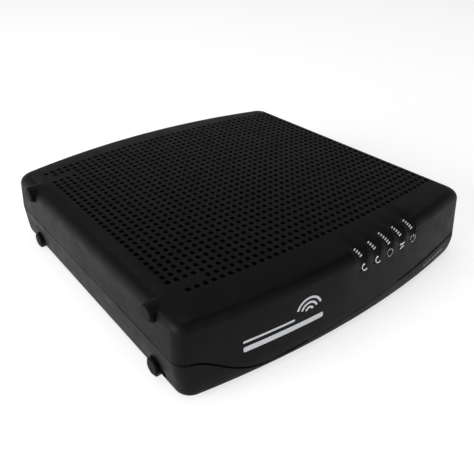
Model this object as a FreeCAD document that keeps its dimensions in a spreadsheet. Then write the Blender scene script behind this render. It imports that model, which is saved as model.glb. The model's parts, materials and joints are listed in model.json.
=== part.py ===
"""Cable modem: a flat desktop box with a vented cover, made as separate pieces in one frame.

X runs to the right, Y to the back and Z up, in millimetres. The origin is the centre of the
footprint, on the surface that the bottom feet stand on. The indicators look forward, along -Y,
and the sockets look back. The four side feet are on the left, at -X.
"""
import FreeCAD, Part
import math
import os
import Sketcher

Vector = FreeCAD.Vector
Rotation = FreeCAD.Rotation

doc = FreeCAD.newDocument("CableModem")
sheet = doc.addObject("Spreadsheet::Sheet", "Sizes")

# ---------------------------------------------------------------- driving dimensions

SIZES = {
    # casing
    "body_width": 187.0,
    "body_depth": 194.0,
    "shell_base": 1.0,
    "shell_top": 39.0,
    "front_bow": 9.0,
    "rear_bow": 14.0,
    "plan_corner": 7.0,
    "wall": 2.2,
    "floor_thickness": 2.4,
    "top_roll": 5.0,
    "lean_up": 4.2,
    "lean_down": 4.5,
    "left_widest": 19.5,
    "right_widest": 9.0,
    "front_widest": 8.0,
    "bottom_edge": 3.0,
    "right_bottom_edge": 11.0,
    "parting_gap": 0.4,
    "parting_low": 4.4,
    "parting_right": 13.8,
    "parting_low_across": -47.0,
    "lip_height": 2.0,
    "lip_thickness": 1.1,
    # vents in the cover
    "vent_pitch": 4.1,
    "vent_row_pitch": 4.7,
    "vent_radius": 1.25,
    "vent_chamfer": 0.3,
    "vent_columns": 41.0,
    "vent_rows": 33.0,
    "vent_across": 2.7,
    "vent_along": 2.8,
    # indicators
    "indicator_pitch": 9.6,
    "indicator_first": 3.9,
    "flute_offset": -2.7,
    "flute_centre": 9.5,
    "flute_inner": 9.8,
    "flute_radius": 6.6,
    "lens_height": 29.2,
    "lens_radius": 1.5,
    "lens_window": 0.7,
    # feet
    "side_boss_radius": 4.6,
    "side_boss_tip": 3.4,
    "side_boss_length": 28.0,
    "side_boss_face": 94.0,
    "side_foot_radius": 3.9,
    "side_foot_thickness": 1.6,
    "side_foot_recess": 0.8,
    "side_foot_front": -66.9,
    "side_foot_rear": 59.8,
    "side_foot_high": 34.8,
    "side_foot_low": 5.6,
    "foot_radius": 5.0,
    "foot_thickness": 2.0,
    "foot_span": 64.0,
    "foot_front": -74.0,
    "foot_rear": 70.0,
    # rear panel and its alcove
    "panel_inner": 81.0,
    "panel_thickness": 2.0,
    "alcove_half_width": 76.0,
    "alcove_low": 4.4,
    "alcove_high": 31.0,
    "jack_clearance": 0.2,
    "jack_proud": 0.2,
    # main board
    "board_half_width": 77.0,
    "board_front": -78.0,
    "board_gap": 0.4,
    "board_low": 8.0,
    "board_thickness": 1.6,
    "board_screw_span": 70.0,
    "board_screw_front": -62.0,
    "board_screw_rear": 58.0,
    # case screws and posts
    "post_radius": 3.6,
    "post_span": 82.0,
    "post_front": -73.0,
    "post_rear": 66.0,
    "post_split": 20.0,
    "screw_radius": 1.5,
    "screw_head_radius": 2.8,
    "screw_head_height": 1.8,
    # sockets
    "coax_across": -60.0,
    "phone_two_across": -35.0,
    "phone_one_across": -19.0,
    "reset_across": -4.0,
    "ethernet_across": 13.0,
    "usb_across": 34.0,
    "power_across": 55.0,
    "jack_height": 13.6,
    "coax_height": 18.1,
    "coax_radius": 4.7,
    "power_bore_radius": 3.2,
    "power_bore_height": 16.0,
    "reset_radius": 1.8,
    "reset_height": 14.6,
    # wall mounting
    "keyhole_span": 50.0,
    "keyhole_radius": 4.25,
    "keyhole_slot": 2.1,
    "keyhole_run": 8.0,
}

for row, (alias, value) in enumerate(SIZES.items(), start=1):
    sheet.set("A%d" % row, alias.replace("_", " "))
    sheet.set("B%d" % row, repr(value))
    sheet.setAlias("B%d" % row, alias)
doc.recompute()


def size(alias):
    """The value of one driving dimension."""
    return float(sheet.get(alias))


def of(text):
    """An expression: every driving dimension's alias in the text becomes a reference to its cell."""
    words = text.replace("(", " ( ").replace(")", " ) ").split()
    return " ".join("Sizes." + word if word in SIZES else word for word in words)


# ---------------------------------------------------------------- ways of making a piece


def place(piece, at):
    """Bind the place of a piece to three expressions."""
    for axis, text in zip("xyz", at):
        piece.setExpression(".Placement.Base." + axis, of(str(text)))


def box(name, lengths, at):
    """A block given by its three lengths and its lowest corner."""
    piece = doc.addObject("Part::Box", name)
    for prop, text in zip(("Length", "Width", "Height"), lengths):
        piece.setExpression(prop, of(str(text)))
    place(piece, at)
    return piece


TURNS = {
    "z": Rotation(),
    "x": Rotation(Vector(0, 1, 0), 90),
    "y": Rotation(Vector(1, 0, 0), -90),
}


def cylinder(name, radius, length, at, along="z"):
    """A round bar that starts at a point and runs along +X, +Y or +Z."""
    piece = doc.addObject("Part::Cylinder", name)
    piece.setExpression("Radius", of(str(radius)))
    piece.setExpression("Height", of(str(length)))
    piece.Placement = FreeCAD.Placement(Vector(), TURNS[along])
    place(piece, at)
    return piece


def cone(name, start_radius, end_radius, length, at, along="z"):
    """A tapered round bar that starts at a point and runs along +X, +Y or +Z."""
    piece = doc.addObject("Part::Cone", name)
    piece.setExpression("Radius1", of(str(start_radius)))
    piece.setExpression("Radius2", of(str(end_radius)))
    piece.setExpression("Height", of(str(length)))
    piece.Placement = FreeCAD.Placement(Vector(), TURNS[along])
    place(piece, at)
    return piece


def fuse(name, pieces):
    joined = doc.addObject("Part::MultiFuse", name)
    joined.Shapes = pieces
    return joined


def common(name, pieces):
    shared = doc.addObject("Part::MultiCommon", name)
    shared.Shapes = pieces
    return shared


def cut(name, base, tool):
    left = doc.addObject("Part::Cut", name)
    left.Base = base
    left.Tool = tool
    return left


def group(name, pieces):
    """Several separate solids that share one node."""
    together = doc.addObject("Part::Compound", name)
    together.Links = pieces
    return together


def shape_feature(name, shape):
    """A form that is worked out in code from the driving dimensions."""
    piece = doc.addObject("Part::Feature", name)
    piece.Shape = shape
    return piece


def new_sketch(body, role, name):
    """A sketch on one of the origin planes of its own body."""
    sketch = body.newObject("Sketcher::SketchObject", name)
    plane = next(item for item in body.Origin.OriginFeatures if item.Role == role)
    sketch.AttachmentSupport = [(plane, "")]
    sketch.MapMode = "FlatFace"
    return sketch


def bind(sketch, name, text, constraint):
    """Add a named constraint and bind its value to an expression."""
    index = sketch.addConstraint(constraint)
    sketch.renameConstraint(index, name)
    sketch.setExpression("Constraints." + name, of(text))


def draw_polygon(sketch, name, corners):
    """A closed outline whose corners are pairs of expressions measured from the sketch's origin."""
    first = sketch.GeometryCount
    count = len(corners)
    values = [(float(evaluate(across)), float(evaluate(up))) for across, up in corners]
    for number in range(count):
        start = Vector(*values[number], 0)
        end = Vector(*values[(number + 1) % count], 0)
        sketch.addGeometry(Part.LineSegment(start, end), False)
    for number in range(count):
        line = first + number
        after = first + (number + 1) % count
        sketch.addConstraint(Sketcher.Constraint("Coincident", line, 2, after, 1))
        across, up = corners[number]
        label = "%s_%d" % (name, number)
        place_x, place_y = values[number]
        bind(sketch, label + "_x", across, Sketcher.Constraint("DistanceX", -1, 1, line, 1, place_x))
        bind(sketch, label + "_y", up, Sketcher.Constraint("DistanceY", -1, 1, line, 1, place_y))


def draw_box(sketch, name, left, low, right, high):
    """A rectangle given by its four sides."""
    draw_polygon(sketch, name, [(left, low), (right, low), (right, high), (left, high)])


def draw_circle(sketch, name, across, up, radius):
    values = [float(evaluate(text)) for text in (across, up, radius)]
    circle = Part.Circle(Vector(values[0], values[1], 0), Vector(0, 0, 1), values[2])
    index = sketch.addGeometry(circle, False)
    bind(sketch, name + "_x", across, Sketcher.Constraint("DistanceX", -1, 1, index, 3, values[0]))
    bind(sketch, name + "_y", up, Sketcher.Constraint("DistanceY", -1, 1, index, 3, values[1]))
    bind(sketch, name + "_radius", radius, Sketcher.Constraint("Radius", index, values[2]))


def evaluate(text):
    """The number that an expression gives now."""
    return sheet.evalExpression(of(text).replace("Sizes.", ""))


def pad(body, sketch, name, length):
    feature = body.newObject("PartDesign::Pad", name)
    feature.Profile = sketch
    feature.setExpression("Length", of(str(length)))
    return feature


def pocket(body, sketch, name, length, reverse=False):
    feature = body.newObject("PartDesign::Pocket", name)
    feature.Profile = sketch
    feature.setExpression("Length", of(str(length)))
    feature.Reversed = reverse
    return feature


def turned(label, outline, at, along="z"):
    """A round piece: an outline of (radius, height) corners turned about its axis."""
    body = doc.addObject("PartDesign::Body", label)
    sketch = new_sketch(body, "XZ_Plane", label + "_outline")
    draw_polygon(sketch, "edge", outline)
    feature = body.newObject("PartDesign::Revolution", label + "_turned")
    feature.Profile = sketch
    feature.ReferenceAxis = (sketch, ["V_Axis"])
    feature.Angle = 360
    body.Placement = FreeCAD.Placement(Vector(), TURNS[along])
    place(body, at)
    return body


def slab(label, outlines, height, at, role="XY_Plane"):
    """A flat piece: outlines drawn by a function on one plane and padded up, or forward, to a height."""
    body = doc.addObject("PartDesign::Body", label)
    sketch = new_sketch(body, role, label + "_outline")
    outlines(sketch)
    pad(body, sketch, label + "_pad", height)
    place(body, at)
    return body


# ---------------------------------------------------------------- the casing's form


def lean(height, widest, up, down):
    """Inset of a leaning side at a height: it is widest at one level and leans in above and below."""
    if height >= widest:
        return (height - widest) * math.tan(math.radians(up))
    return (widest - height) * math.tan(math.radians(down))


def rounding(depth, radius):
    """Inset of a rounded edge at a depth below the face that it rounds over to."""
    if depth >= radius:
        return 0.0
    return radius - math.sqrt(radius**2 - (radius - depth)**2)


def outline(height, left, right, front, rear, corner):
    """Closed wire at a height: straight sides, bowed front and rear, and round corners tangent to both."""
    half = size("body_width") / 2
    left_x = -half + left
    right_x = half - right
    front_y = -size("body_depth") / 2 + front
    rear_y = size("body_depth") / 2 - rear

    def corner_arc(side_x, end_y):
        """Start on the side, middle and end on the bowed end of one corner."""
        outward_x = math.copysign(1, side_x)
        outward_y = math.copysign(1, end_y)
        bow = size("front_bow") if end_y < 0 else size("rear_bow")
        reach = (half**2 + bow**2) / (2 * bow)
        bow_centre = Vector(0, end_y - outward_y * reach, height)
        centre_x = side_x - outward_x * corner
        rise = math.sqrt((reach - corner)**2 - centre_x**2)
        centre = Vector(centre_x, bow_centre.y + outward_y * rise, height)
        toward_bow = (centre - bow_centre).normalize()
        toward_side = Vector(outward_x, 0, 0)
        middle = (toward_bow + toward_side).normalize()
        return [centre + direction * corner for direction in (toward_side, middle, toward_bow)]

    front_left = corner_arc(left_x, front_y)
    front_right = corner_arc(right_x, front_y)
    rear_right = corner_arc(right_x, rear_y)
    rear_left = corner_arc(left_x, rear_y)
    edges = [
        Part.Arc(front_left[2], Vector(0, front_y, height), front_right[2]).toShape(),
        Part.Arc(*reversed(front_right)).toShape(),
        Part.LineSegment(front_right[0], rear_right[0]).toShape(),
        Part.Arc(*rear_right).toShape(),
        Part.Arc(rear_right[2], Vector(0, rear_y, height), rear_left[2]).toShape(),
        Part.Arc(*reversed(rear_left)).toShape(),
        Part.LineSegment(rear_left[0], front_left[0]).toShape(),
        Part.Arc(*front_left).toShape(),
    ]
    return Part.Wire(edges)


def casing_form(skin, floor_skin, ceiling_skin):
    """Solid bounded by the casing's outer surface moved inward by a skin thickness."""
    base = size("shell_base") + floor_skin
    top = size("shell_top") - ceiling_skin
    roll = size("top_roll") - skin
    edge = max(size("bottom_edge") - skin, 1.0)
    right_edge = size("right_bottom_edge") - skin
    widest = size("left_widest")

    def section(height):
        leans = [
            (size("left_widest"), size("lean_up"), edge),
            (size("right_widest"), size("lean_up"), right_edge),
            (size("front_widest"), size("lean_up"), edge),
            (size("front_widest"), size("lean_up"), edge),
        ]
        over_top = rounding(top - height, roll)
        insets = [
            skin + over_top + rounding(height - base, low) + lean(height, level, up, size("lean_down"))
            for level, up, low in leans
        ]
        corner = max(size("plan_corner") - skin - 0.3 * over_top, 2.0)
        return outline(height, *insets, corner)

    steps = 6
    quarter = math.pi / 2
    low_heights = [base + right_edge * (1 - math.cos(quarter * n / steps)) for n in range(steps + 1)]
    roll_heights = [top - roll * (1 - math.sin(quarter * n / steps)) for n in range(steps + 1)]
    stretches = [
        (low_heights, False),
        ([low_heights[-1], widest, roll_heights[0]], True),
        (roll_heights, False),
    ]
    solids = [
        Part.makeLoft([section(height) for height in heights], True, ruled)
        for heights, ruled in stretches
    ]
    return solids[0].fuse(solids[1:])


def parting_face(offset):
    """The wavy surface between cover and bottom, moved up by an offset, and all the space under it.

    From the left it runs level, swings down past the front left corner almost to the bottom and
    then climbs in a straight line to the right side.
    """
    half = size("body_width") / 2
    reach = 20.0
    high = size("left_widest") + offset
    right = size("parting_right") + offset
    swing_start = Vector(-half + 6, 0, high)
    swing_end = Vector(size("parting_low_across"), 0, size("parting_low") + offset)
    climb_end = Vector(half, 0, right)
    swing = Part.BezierCurve()
    climb = (climb_end - swing_end).normalize()
    swing.setPoles([swing_start, swing_start + Vector(9, 0, 0), swing_end - climb * 22, swing_end])
    level_start = Vector(-half - reach, 0, high)
    corners = [climb_end, Vector(half + reach, 0, right), Vector(half + reach, 0, -reach),
               Vector(-half - reach, 0, -reach), level_start, swing_start]
    edges = [swing.toShape(), Part.LineSegment(swing_end, climb_end).toShape()]
    edges += [Part.LineSegment(start, end).toShape() for start, end in zip(corners, corners[1:])]
    depth = size("body_depth")
    face = Part.Face(Part.Wire(Part.__sortEdges__(edges)))
    face.translate(Vector(0, -depth, 0))
    return face.extrude(Vector(0, 2 * depth, 0))


skin = size("wall")
floor_skin = size("floor_thickness")
outer_form = casing_form(0.0, 0.0, 0.0)
inner_form = casing_form(skin, floor_skin, skin)
lip_form = casing_form(skin + size("lip_thickness"), floor_skin, skin)

half_gap = size("parting_gap") / 2
outer_upper = shape_feature("outer_upper", outer_form.cut(parting_face(half_gap)))
outer_lower = shape_feature("outer_lower", outer_form.common(parting_face(-half_gap)))
cavity = shape_feature("cavity", inner_form)

# The lip lines the bottom's wall and stands up behind the cover's edge, except at the rear alcove.
lip_band = parting_face(size("lip_height"))
lip_reach = Part.makeBox(400, 400, 400, Vector(-200, size("panel_inner") - 404, -200))
lip_ring = lip_band.common(inner_form).cut(lip_band.common(lip_form))
lip = shape_feature("lip", lip_ring.common(lip_reach))

# ---------------------------------------------------------------- side bosses, with the side feet

SIDE_FEET = {
    "front_high": ("side_foot_front", "side_foot_high"),
    "rear_high": ("side_foot_rear", "side_foot_high"),
    "front_low": ("side_foot_front", "side_foot_low"),
    "rear_low": ("side_foot_rear", "side_foot_low"),
}


def side_boss(name, along, up, shrink):
    """Tapered boss that runs in from the left side and sinks into the cover or the bottom."""
    return cone(
        "boss_" + name,
        "side_boss_radius - %s" % shrink,
        "side_boss_tip - %s" % shrink,
        "side_boss_length",
        ("0 - side_boss_face + %s" % shrink, along, up),
        along="x",
    )


bosses = {name: side_boss(name, along, up, "0") for name, (along, up) in SIDE_FEET.items()}
hollows = {name: side_boss(name + "_hollow", along, up, "wall") for name, (along, up) in SIDE_FEET.items()}
foot_pockets = {
    name: cylinder("side_pocket_" + name, "side_foot_radius + 0.2", "side_foot_recess + 5",
                   ("0 - side_boss_face - 5", along, up), along="x")
    for name, (along, up) in SIDE_FEET.items()
}

for name, (along, up) in SIDE_FEET.items():
    turned(
        "side_foot_" + name,
        [("0", "0"), ("side_foot_radius - 0.6", "0"), ("side_foot_radius", "0.4"),
         ("side_foot_radius", "side_foot_thickness"), ("0", "side_foot_thickness")],
        ("0 - side_boss_face + side_foot_recess - side_foot_thickness", along, up),
        along="x",
    )

# ---------------------------------------------------------------- posts and the rear alcove

POSTS = {
    "front_left": ("0 - post_span", "post_front"),
    "front_right": ("post_span", "post_front"),
    "rear_left": ("0 - post_span", "post_rear"),
    "rear_right": ("post_span", "post_rear"),
}
BOARD_SCREWS = {
    "front_left": ("0 - board_screw_span", "board_screw_front"),
    "front_right": ("board_screw_span", "board_screw_front"),
    "rear_left": ("0 - board_screw_span", "board_screw_rear"),
    "rear_right": ("board_screw_span", "board_screw_rear"),
}

window = box(
    "alcove_window",
    ("2 * alcove_half_width", "40", "alcove_high - alcove_low"),
    ("0 - alcove_half_width", "panel_inner + panel_thickness", "alcove_low"),
)

# ---------------------------------------------------------------- top cover


VENT_GAPS = {0: 1, 1: 4, 30: 4, 31: 1}


def vent_places():
    """Centres of the vent holes: a grid whose rows bow with the front and close up at the sides.

    The rows beside the two upper side bosses leave out their first holes.
    """
    columns = int(size("vent_columns"))
    rows = int(size("vent_rows"))
    for column in range(columns):
        side = 2 * column / (columns - 1) - 1
        across = side * (columns - 1) / 2 * size("vent_pitch") + size("vent_across")
        row_pitch = size("vent_row_pitch") * (1 - 0.078 * side**2)
        for row in range(rows):
            if column < VENT_GAPS.get(row, 0):
                continue
            yield across, (row - (rows - 1) / 2 - 0.4 * side**2) * row_pitch + size("vent_along")


def vent_tool():
    """All the vent holes as one cutting shape: a round hole and a small countersink for each."""
    radius = size("vent_radius")
    chamfer = size("vent_chamfer")
    top = size("shell_top")
    depth = size("wall") + 2
    rim = radius + 2 * chamfer
    corners = [(0, -depth), (radius, -depth), (radius, -chamfer), (rim, chamfer), (0, chamfer)]
    points = [Vector(across, 0, top + up) for across, up in corners]
    profile = Part.Face(Part.makePolygon(points + points[:1]))
    hole = profile.revolve(Vector(), Vector(0, 0, 1), 360)
    return Part.makeCompound([hole.translated(Vector(across, along, 0)) for across, along in vent_places()])


def front_line(across, height):
    """Place of the front face along Y, at a distance from the middle and a height."""
    bow = size("front_bow") * (2 * across / size("body_width"))**2
    inset = lean(height, size("front_widest"), size("lean_up"), size("lean_down"))
    return -size("body_depth") / 2 + bow + inset


def flute(number):
    """Quarter of a ring whose near side cuts one shallow flute over the front top edge."""
    across = size("indicator_first") + number * size("indicator_pitch") + size("flute_offset")
    inset = size("flute_centre")
    centre = Vector(across, front_line(across, size("shell_top")) + inset, size("shell_top") - inset)
    ring_radius = size("flute_inner") + size("flute_radius")
    ring = Part.makeTorus(ring_radius, size("flute_radius"), centre, Vector(1, 0, 0))
    width = size("indicator_pitch") - 0.4
    reach = 2 * inset
    return ring.common(Part.makeBox(width, reach, reach, centre - Vector(width / 2, reach, 0)))


INDICATORS = 5
flutes = shape_feature("flutes", Part.makeCompound([flute(n) for n in range(INDICATORS)]))
lens_ways = [
    cylinder("lens_way_%d" % (n + 1), "lens_radius + 0.1", "20",
             ("indicator_first + %d * indicator_pitch" % n, "0 - body_depth / 2 - 5", "lens_height"),
             along="y")
    for n in range(INDICATORS)
]
window_form = shape_feature("window_form", casing_form(size("lens_window"), 0.0, size("lens_window")))
lens_holes = common("lens_holes", [fuse("lens_bars", lens_ways), window_form])

cover_posts = [
    cylinder("cover_post_" + name, "post_radius", "shell_top - wall - post_split + 0.1",
             (across, along, "post_split + 0.15"))
    for name, (across, along) in POSTS.items()
]
cover_pilots = [
    cylinder("cover_pilot_" + name, "screw_radius", "12", (across, along, "post_split"))
    for name, (across, along) in POSTS.items()
]

cover_solid = fuse("cover_solid", [outer_upper, bosses["front_high"], bosses["rear_high"]])
cover_inside = fuse("cover_inside", [cavity, hollows["front_high"], hollows["rear_high"]])
cover_skin = cut("cover_skin", cover_solid, cover_inside)
cover_body = fuse("cover_body", [cover_skin] + cover_posts)
cover_pockets = [foot_pockets["front_high"], foot_pockets["rear_high"]]
cover_cuts = fuse("cover_cuts", [window, flutes, lens_holes] + cover_pockets + cover_pilots)
cover_blank = cut("cover_blank", cover_body, cover_cuts)
vents = shape_feature("vents", vent_tool())
top_cover = cut("top_cover", cover_blank, vents)

# ---------------------------------------------------------------- bottom case

FEET = {
    "front_left": ("0 - foot_span", "foot_front"),
    "front_right": ("foot_span", "foot_front"),
    "rear_left": ("0 - foot_span", "foot_rear"),
    "rear_right": ("foot_span", "foot_rear"),
}
FLOOR_SLOTS = 13
FLOOR_SLOT_PITCH = 6.0
FLOOR_SLOT_ROWS = {"front": "-52", "rear": "26"}
INNER_FLOOR = "shell_base + floor_thickness"


def floor_slots(name, along):
    """A row of cooling slots through the floor, as one cutting body."""
    body = doc.addObject("PartDesign::Body", "floor_slots_" + name)
    sketch = new_sketch(body, "XY_Plane", "floor_slot_outline_" + name)
    draw_box(sketch, "slot", "-1.1", "0", "1.1", "26")
    first = pad(body, sketch, "floor_slot_" + name, "floor_thickness + 4")
    pattern = body.newObject("PartDesign::LinearPattern", "floor_slot_row_" + name)
    pattern.Originals = [first]
    pattern.Direction = (sketch, ["H_Axis"])
    pattern.Length = (FLOOR_SLOTS - 1) * FLOOR_SLOT_PITCH
    pattern.Occurrences = FLOOR_SLOTS
    body.Tip = pattern
    place(body, ("%s" % (-(FLOOR_SLOTS - 1) * FLOOR_SLOT_PITCH / 2), along, "shell_base - 2"))
    return body


def keyhole(name, across):
    """Wall-mounting keyhole: a round entry for a screw head and a narrow run towards the back."""
    return fuse("keyhole_" + name, [
        cylinder("keyhole_entry_" + name, "keyhole_radius", "8", (across, "0", "shell_base - 2")),
        box("keyhole_run_" + name, ("2 * keyhole_slot", "keyhole_run", "8"),
            (across + " - keyhole_slot", "0", "shell_base - 2")),
        cylinder("keyhole_end_" + name, "keyhole_slot", "8", (across, "keyhole_run", "shell_base - 2")),
    ])


bottom_solid = fuse("bottom_solid", [outer_lower, bosses["front_low"], bosses["rear_low"]])
bottom_inside = fuse("bottom_inside", [cavity, hollows["front_low"], hollows["rear_low"]])
bottom_skin = cut("bottom_skin", bottom_solid, bottom_inside)
bottom_posts = [
    cylinder("bottom_post_" + name, "post_radius", "post_split - shell_base - floor_thickness + 0.1",
             (across, along, INNER_FLOOR + " - 0.1"))
    for name, (across, along) in POSTS.items()
]
standoffs = [
    cylinder("standoff_" + name, "3.2", "board_low - shell_base - floor_thickness + 0.1",
             (across, along, INNER_FLOOR + " - 0.1"))
    for name, (across, along) in BOARD_SCREWS.items()
]
bottom_body = fuse("bottom_body", [bottom_skin, lip] + bottom_posts + standoffs)

case_screw_ways = []
for name, (across, along) in POSTS.items():
    case_screw_ways.append(
        cylinder("case_screw_way_" + name, "screw_radius + 0.2", "40", (across, along, "shell_base - 1")))
    case_screw_ways.append(
        cylinder("case_screw_sink_" + name, "screw_head_radius + 0.3", "screw_head_height + 2.2",
                 (across, along, "shell_base - 1")))
standoff_pilots = [
    cylinder("standoff_pilot_" + name, "screw_radius", "4", (across, along, "board_low - 3.5"))
    for name, (across, along) in BOARD_SCREWS.items()
]
foot_recesses = [
    cylinder("foot_recess_" + name, "foot_radius + 0.2", "foot_thickness + 2",
             (across, along, "0 - 2"))
    for name, (across, along) in FEET.items()
]
label_recess = box("label_recess", ("72", "34", "2.3"), ("-36", "-20", "shell_base - 2"))
side_slot = box("side_slot", ("6", "7.6", "0.7"),
                ("0 - body_width / 2 - 3", "side_foot_rear - 2.8", "12.5"))
side_recess = cylinder("side_recess", "1.6", "6",
                       ("0 - body_width / 2 - 3", "side_foot_front - 6.8", "5.4"), along="x")
bottom_cuts = fuse("bottom_cuts", [
    window,
    foot_pockets["front_low"],
    foot_pockets["rear_low"],
    keyhole("left", "0 - keyhole_span"),
    keyhole("right", "keyhole_span"),
    label_recess,
    side_slot,
    side_recess,
] + case_screw_ways + standoff_pilots + foot_recesses
    + [floor_slots(name, along) for name, along in FLOOR_SLOT_ROWS.items()])
bottom_case = cut("bottom_case", bottom_body, bottom_cuts)

for name, (across, along) in FEET.items():
    turned(
        "bottom_foot_" + name,
        [("0", "0"), ("foot_radius - 0.6", "0"), ("foot_radius", "0.5"),
         ("foot_radius", "foot_thickness"), ("0", "foot_thickness")],
        (across, along, "0"),
    )

slab("blank_label", lambda sketch: draw_box(sketch, "label", "-35.5", "-16.5", "35.5", "16.5"),
     "0.2", ("0", "-3", "shell_base + 0.1"))


def screws(node, places, low, length, head_below):
    """Four equal screws in one node: a plain shank with a shallow domed head."""
    shanks = []
    for name, (across, along) in places.items():
        outline_corners = [("0", "0"), ("screw_head_radius - 0.7", "0"), ("screw_head_radius", "0.7"),
                           ("screw_head_radius", "screw_head_height"),
                           ("screw_radius", "screw_head_height"),
                           ("screw_radius", "screw_head_height + %s" % length),
                           ("0", "screw_head_height + %s" % length)]
        screw = turned(node + "_" + name, outline_corners, (across, along, low))
        if not head_below:
            screw.Placement = FreeCAD.Placement(Vector(), Rotation(Vector(1, 0, 0), 180))
            place(screw, (across, along, low))
        shanks.append(screw)
    return group(node, shanks)


screws("case_screws", POSTS, "shell_base + 1.2", "24", True)
screws("board_screws", BOARD_SCREWS, "board_low + board_thickness + screw_head_height", "4.6", False)

# ---------------------------------------------------------------- rear panel

JACK_FACE = "panel_inner + panel_thickness + jack_proud"
BOARD_TOP = "board_low + board_thickness"
MODULAR_JACKS = {
    "ethernet": {"across": "ethernet_across", "width": "16", "cavity": "5.95", "wires": 8},
    "phone_one": {"across": "phone_one_across", "width": "13.4", "cavity": "4.9", "wires": 4},
    "phone_two": {"across": "phone_two_across", "width": "13.4", "cavity": "4.9", "wires": 4},
}
PANEL_LOW = "4"
PANEL_HIGH = "35.8"


def panel_outline(sketch):
    """The panel's edge and its cutouts, seen from the front: across is X and up is Z."""
    draw_box(sketch, "edge", "0 - alcove_half_width - 3", PANEL_LOW, "alcove_half_width + 3", PANEL_HIGH)
    for name, jack in MODULAR_JACKS.items():
        half = "(%s / 2 + jack_clearance)" % jack["width"]
        draw_box(sketch, name, "%s - %s" % (jack["across"], half), BOARD_TOP + " - jack_clearance",
                 "%s + %s" % (jack["across"], half), BOARD_TOP + " + jack_height + jack_clearance")
    draw_box(sketch, "usb", "usb_across - 6.2", BOARD_TOP + " - jack_clearance",
             "usb_across + 6.2", BOARD_TOP + " + 11.0")
    draw_circle(sketch, "power", "power_across", "power_bore_height", "4.5")
    draw_circle(sketch, "coax", "coax_across", "coax_height", "coax_radius + 0.1")
    draw_circle(sketch, "reset", "reset_across", "reset_height", "reset_radius + 0.4")


panel_plate = slab("panel_plate", panel_outline, "panel_thickness",
                   ("0", "panel_inner + panel_thickness", "0"), role="XZ_Plane")
# The four walls that line the alcove stand against the plate: left edge, low edge, width, height.
ALCOVE_WALLS = {
    "roof": ("0 - alcove_half_width - 2", "alcove_high", "2 * alcove_half_width + 4", "2"),
    "floor": ("0 - alcove_half_width - 2", "alcove_low - 2", "2 * alcove_half_width + 4", "2"),
    "left": ("0 - alcove_half_width - 2", "alcove_low", "2", "alcove_high - alcove_low"),
    "right": ("alcove_half_width", "alcove_low", "2", "alcove_high - alcove_low"),
}
panel_pieces = [common("panel_in_case", [panel_plate, cavity])]
for side, (left, low, width, height) in ALCOVE_WALLS.items():
    wall_block = box("alcove_%s_block" % side, (width, "30", height),
                     (left, "panel_inner + panel_thickness", low))
    panel_pieces.append(common("alcove_" + side, [wall_block, cavity]))
group("rear_panel", panel_pieces)

# ---------------------------------------------------------------- main board


def board_outline(sketch):
    draw_box(sketch, "edge", "0 - board_half_width", "board_front",
             "board_half_width", "panel_inner - board_gap")
    for name, (across, along) in BOARD_SCREWS.items():
        draw_circle(sketch, name, across, along, "screw_radius + 0.1")


slab("main_board", board_outline, "board_thickness", ("0", "0", "board_low"))


def chip(node, across, along, half_width, half_depth, height):
    """Flat package that stands on the board, centred on a place."""

    def edge(sketch):
        draw_box(sketch, "edge", "0 - %s" % half_width, "0 - %s" % half_depth, half_width, half_depth)

    return slab(node, edge, height, (across, along, BOARD_TOP))


chip("main_chip", "4", "0", "13.5", "13.5", "2.2")
chip("memory_chip", "36", "6", "5.5", "9", "1.2")
chip("program_chip", "36", "-18", "6", "7", "1.2")
chip("clock_crystal", "-22", "-8", "5.5", "2.4", "3.5")
chip("line_chip_one", "-19", "44", "4.5", "4.5", "1.2")
chip("line_chip_two", "-35", "44", "4.5", "4.5", "1.2")
chip("ring_transformer", "-30", "22", "8", "7", "12")
chip("power_coil", "62", "28", "6.2", "6.2", "6")
chip("ethernet_transformer", "13", "48", "7", "5", "6")
chip("tuner_chip", "-60", "62", "4", "4", "1")

LEDS = ["led_%d" % (number + 1) for number in range(INDICATORS)]
LED_ALONG = "-72"
for number, node in enumerate(LEDS):
    chip(node, "indicator_first + %d * indicator_pitch" % number, LED_ALONG, "1.6", "1.4", "1.9")

CAPACITORS = {"one": ("48", "52"), "two": ("66", "48"), "three": ("-4", "40")}
for name, (across, along) in CAPACITORS.items():
    turned("capacitor_" + name, [("0", "0"), ("4.6", "0"), ("5", "0.5"), ("5", "1.6"), ("4.6", "2.1"),
                                 ("5", "2.6"), ("5", "15.5"), ("4.5", "16"), ("0", "16")],
           (across, along, BOARD_TOP))

# Finned heatsink glued to the main chip.
heatsink = slab("main_heatsink", lambda sketch: draw_box(sketch, "edge", "-18", "-18", "18", "18"),
                "10", ("4", "0", BOARD_TOP + " + 2.2"))
channel_sketch = new_sketch(heatsink, "XZ_Plane", "channel_outline")
draw_box(channel_sketch, "channel", "-16.6", "2", "-14", "12")
channel = pocket(heatsink, channel_sketch, "channel", "60")
channel.Midplane = True
channels = heatsink.newObject("PartDesign::LinearPattern", "channels")
channels.Originals = [channel]
channels.Direction = (channel_sketch, ["H_Axis"])
channels.Length = 30.6
channels.Occurrences = 8
heatsink.Tip = channels

# Screening can of the tuner: a frame of four walls with a pressed lid over it.
CAN = {"left": "-75", "width": "31", "front": "44", "depth": "34", "height": "17"}
can_block = box("can_block", (CAN["width"], CAN["depth"], CAN["height"]),
                (CAN["left"], CAN["front"], BOARD_TOP))
can_inside = box("can_inside", ("30.2", "33.2", "30"), ("-74.6", "44.4", "board_low"))
cut("tuner_frame", can_block, can_inside)
lid_block = box("lid_block", ("32", "35", "6"), ("-75.5", "43.5", BOARD_TOP + " + 11.5"))
lid_inside = box("lid_inside", ("31", "34", "5.5"), ("-75", "44", BOARD_TOP + " + 11.5"))
barrel_notch = cylinder("barrel_notch", "6.6", "4", ("coax_across", "panel_inner - 5", "coax_height"),
                        along="y")
cut("tuner_lid", lid_block, fuse("lid_cuts", [lid_inside, barrel_notch]))

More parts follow.
